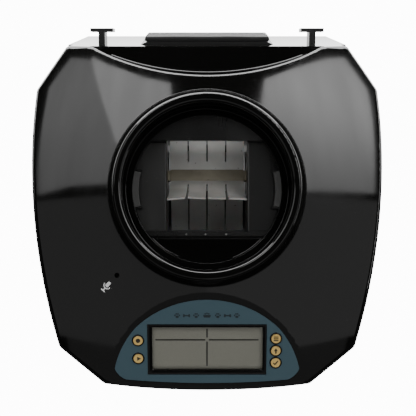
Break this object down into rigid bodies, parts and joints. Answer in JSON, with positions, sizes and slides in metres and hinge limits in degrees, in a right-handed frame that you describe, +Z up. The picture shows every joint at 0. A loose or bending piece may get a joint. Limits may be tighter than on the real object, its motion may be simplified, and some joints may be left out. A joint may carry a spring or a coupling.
{
  "type": "automatic pet feeder dispensing head",
  "caption": "Domed dispensing head of a gravity-fed pet feeder: hopper collar, flap rotor with gear drive, sloped display with keys, battery bay and hanging hooks.",
  "frame": {"origin": "on the hopper collar's axis, in the plane of the underside rim that the head rests on", "axes": "+Z up along the collar's axis, +Y towards the hanging hooks at the back, display at -Y"},
  "size_m": [0.2404, 0.2666, 0.1101],
  "materials": {
    "shell_gloss": "polished black ABS",
    "ledge_gloss": "polished black ABS",
    "hook_matte": "fine-textured black ABS",
    "pad_foam": "dark felt-faced foam",
    "panel_film": "blue-grey printed film",
    "frame_black": "black, satin",
    "lens": "clear cover over the display",
    "lcd": "unlit reflective liquid-crystal cell",
    "circuit_board": "green solder mask",
    "button_cream": "cream buttons",
    "component_black": "moulded black",
    "component_metal": "pressed steel",
    "speaker_paper": "black paper cone",
    "throat_black": "satin black ABS",
    "screw_steel": "zinc-plated steel",
    "shaft_steel": "ground steel",
    "hub_nylon": "beige nylon",
    "flap_silicone": "translucent grey-white silicone rubber",
    "bush_nylon": "natural nylon",
    "gear_nylon": "natural acetal",
    "motor_can": "plated steel can",
    "bay_plastic": "moulded black",
    "cell_jacket": "printed steel jacket",
    "contact_plate": "nickel-plated steel"
  },
  "bodies": {
    "head": {"top_shell": "shell_gloss", "lower_housing": "shell_gloss", "rear_ledge": "ledge_gloss", "t_hook_left": "hook_matte", "t_hook_right": "hook_matte", "pad_boss": "hook_matte", "rear_pad": "pad_foam", "display_panel": "panel_film", "display_frame": "frame_black", "screen_lens": "lens", "screen_cell": "lcd", "display_board": "circuit_board", "key_switches": "component_black", "board_screws": "screw_steel", "mic_capsule": "component_metal", "speaker_basket": "component_metal", "speaker_cone": "speaker_paper", "main_board": "circuit_board", "board_parts": "component_black", "power_jack": "component_black", "switch_body": "component_black", "feed_throat": "throat_black", "stop_pin": "throat_black", "throat_screws": "screw_steel", "chute_housing": "throat_black", "housing_screws": "screw_steel", "bush_left": "bush_nylon", "bush_right": "bush_nylon", "gearbox": "component_black", "gearbox_screws": "screw_steel", "drive_motor": "motor_can", "index_sensor": "component_black", "battery_bay": "bay_plastic", "battery_cell_1": "cell_jacket", "battery_cell_2": "cell_jacket", "battery_cell_3": "cell_jacket", "battery_cell_4": "cell_jacket", "contacts_front": "contact_plate", "contacts_back": "contact_plate", "hinge_pin": "shaft_steel", "case_screws": "screw_steel"},
    "rotor": {"rotor_shaft": "shaft_steel", "rotor_hub": "hub_nylon", "rotor_flap_1": "flap_silicone", "rotor_flap_2": "flap_silicone", "rotor_flap_3": "flap_silicone", "rotor_flap_4": "flap_silicone", "rotor_gear": "gear_nylon", "shaft_clips": "screw_steel", "index_disc": "gear_nylon"},
    "pinion": {"motor_pinion": "gear_nylon"},
    "record_key": {"record_button": "button_cream"},
    "play_key": {"play_button": "button_cream"},
    "set_key": {"set_button": "button_cream"},
    "up_key": {"up_button": "button_cream"},
    "ok_key": {"ok_button": "button_cream"},
    "door": {"battery_door": "shell_gloss"},
    "switch": {"switch_knob": "frame_black"}
  },
  "joints": [
    {"name": "rotor_spin", "type": "hinge", "parent": "head", "child": "rotor", "pos_m": [0, 0.0143, 0.05], "axis": [1, 0, 0], "continuous": true},
    {"name": "pinion_spin", "type": "hinge", "parent": "head", "child": "pinion", "pos_m": [0.04, 0.0143, 0.022], "axis": [1, 0, 0], "continuous": true},
    {"name": "record_press", "type": "slide", "parent": "head", "child": "record_key", "axis": [0, 0.342, -0.9397], "range_m": [0, 0.0006], "stiffness_N_per_m": 300, "springref_m": -0.001},
    {"name": "play_press", "type": "slide", "parent": "head", "child": "play_key", "axis": [0, 0.342, -0.9397], "range_m": [0, 0.0006], "stiffness_N_per_m": 300, "springref_m": -0.001},
    {"name": "set_press", "type": "slide", "parent": "head", "child": "set_key", "axis": [0, 0.342, -0.9397], "range_m": [0, 0.0006], "stiffness_N_per_m": 300, "springref_m": -0.001},
    {"name": "up_press", "type": "slide", "parent": "head", "child": "up_key", "axis": [0, 0.342, -0.9397], "range_m": [0, 0.0006], "stiffness_N_per_m": 300, "springref_m": -0.001},
    {"name": "ok_press", "type": "slide", "parent": "head", "child": "ok_key", "axis": [0, 0.342, -0.9397], "range_m": [0, 0.0006], "stiffness_N_per_m": 300, "springref_m": -0.001},
    {"name": "door_swing", "type": "hinge", "parent": "head", "child": "door", "pos_m": [-0.0771, 0.0578, 0.0022], "axis": [1, 0, 0], "range_deg": [0, 100]},
    {"name": "switch_slide", "type": "slide", "parent": "head", "child": "switch", "axis": [0, 1, 0], "range_m": [0, 0.003]}
  ],
  "couplings": [
    {"joint": "pinion_spin", "follows": "rotor_spin", "ratio": -2.5}
  ]
}
